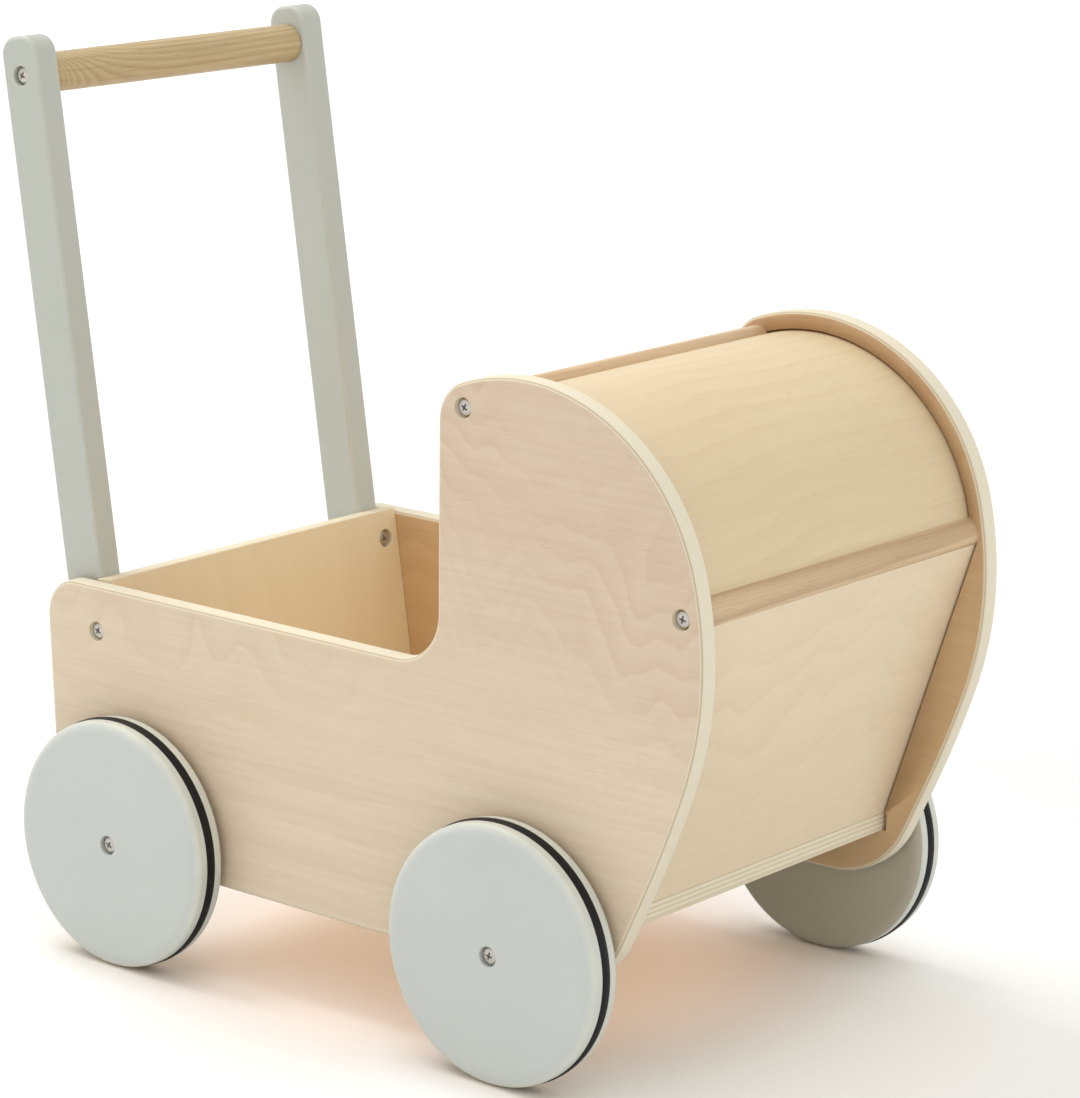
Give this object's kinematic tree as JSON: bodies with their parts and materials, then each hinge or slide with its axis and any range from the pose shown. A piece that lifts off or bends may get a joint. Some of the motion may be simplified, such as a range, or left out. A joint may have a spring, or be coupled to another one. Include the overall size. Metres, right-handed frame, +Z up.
{
  "type": "doll stroller",
  "caption": "Toy doll's pram in plywood: open cradle under a bent plywood hood, on four rubber-ringed wooden wheels, pushed by a round bar between two slanting uprights.",
  "frame": {"origin": "on the ground, at the middle of the pram's length and width", "axes": "+X forward from the handle to the hood, +Y to the pram's left, +Z up"},
  "size_m": [0.5018, 0.306, 0.5026],
  "materials": {
    "birch_ply": "clear satin lacquer on birch plywood",
    "thin_ply": "clear satin lacquer on thin birch plywood",
    "round_pine": "clear satin lacquer on turned softwood",
    "painted_wood": "satin grey paint on wood",
    "rubber": "matt black rubber",
    "nylon": "plain nylon",
    "steel": "zinc-plated steel",
    "brass": "plain brass"
  },
  "bodies": {
    "cradle": {"right_side_panel": "birch_ply", "left_side_panel": "birch_ply", "back_panel": "birch_ply", "floor_board": "birch_ply", "hood_sheet": "thin_ply", "front_panel": "thin_ply", "top_hood_rail": "round_pine", "front_hood_rail": "round_pine", "right_upright": "painted_wood", "left_upright": "painted_wood", "handle_bar": "round_pine", "axle_bolts": "steel", "axle_spacers": "steel", "axle_nuts": "steel", "hood_bolts": "steel", "hood_inserts": "brass", "handle_bolts": "steel", "handle_inserts": "brass", "upright_screws": "steel", "side_screws": "steel", "rear_floor_screws": "steel"},
    "rear_right_wheel_set": {"rear_right_wheel": "painted_wood", "rear_right_tyre": "rubber", "rear_right_bush": "nylon"},
    "rear_left_wheel_set": {"rear_left_wheel": "painted_wood", "rear_left_tyre": "rubber", "rear_left_bush": "nylon"},
    "front_right_wheel_set": {"front_right_wheel": "painted_wood", "front_right_tyre": "rubber", "front_right_bush": "nylon"},
    "front_left_wheel_set": {"front_left_wheel": "painted_wood", "front_left_tyre": "rubber", "front_left_bush": "nylon"}
  },
  "joints": [
    {"name": "rear_right_wheel_spin", "type": "hinge", "parent": "cradle", "child": "rear_right_wheel_set", "pos_m": [-0.138, -0.1425, 0.07], "axis": [0, 1, 0], "continuous": true},
    {"name": "rear_left_wheel_spin", "type": "hinge", "parent": "cradle", "child": "rear_left_wheel_set", "pos_m": [-0.138, 0.1425, 0.07], "axis": [0, 1, 0], "continuous": true},
    {"name": "front_right_wheel_spin", "type": "hinge", "parent": "cradle", "child": "front_right_wheel_set", "pos_m": [0.136, -0.1425, 0.07], "axis": [0, 1, 0], "continuous": true},
    {"name": "front_left_wheel_spin", "type": "hinge", "parent": "cradle", "child": "front_left_wheel_set", "pos_m": [0.136, 0.1425, 0.07], "axis": [0, 1, 0], "continuous": true}
  ]
}
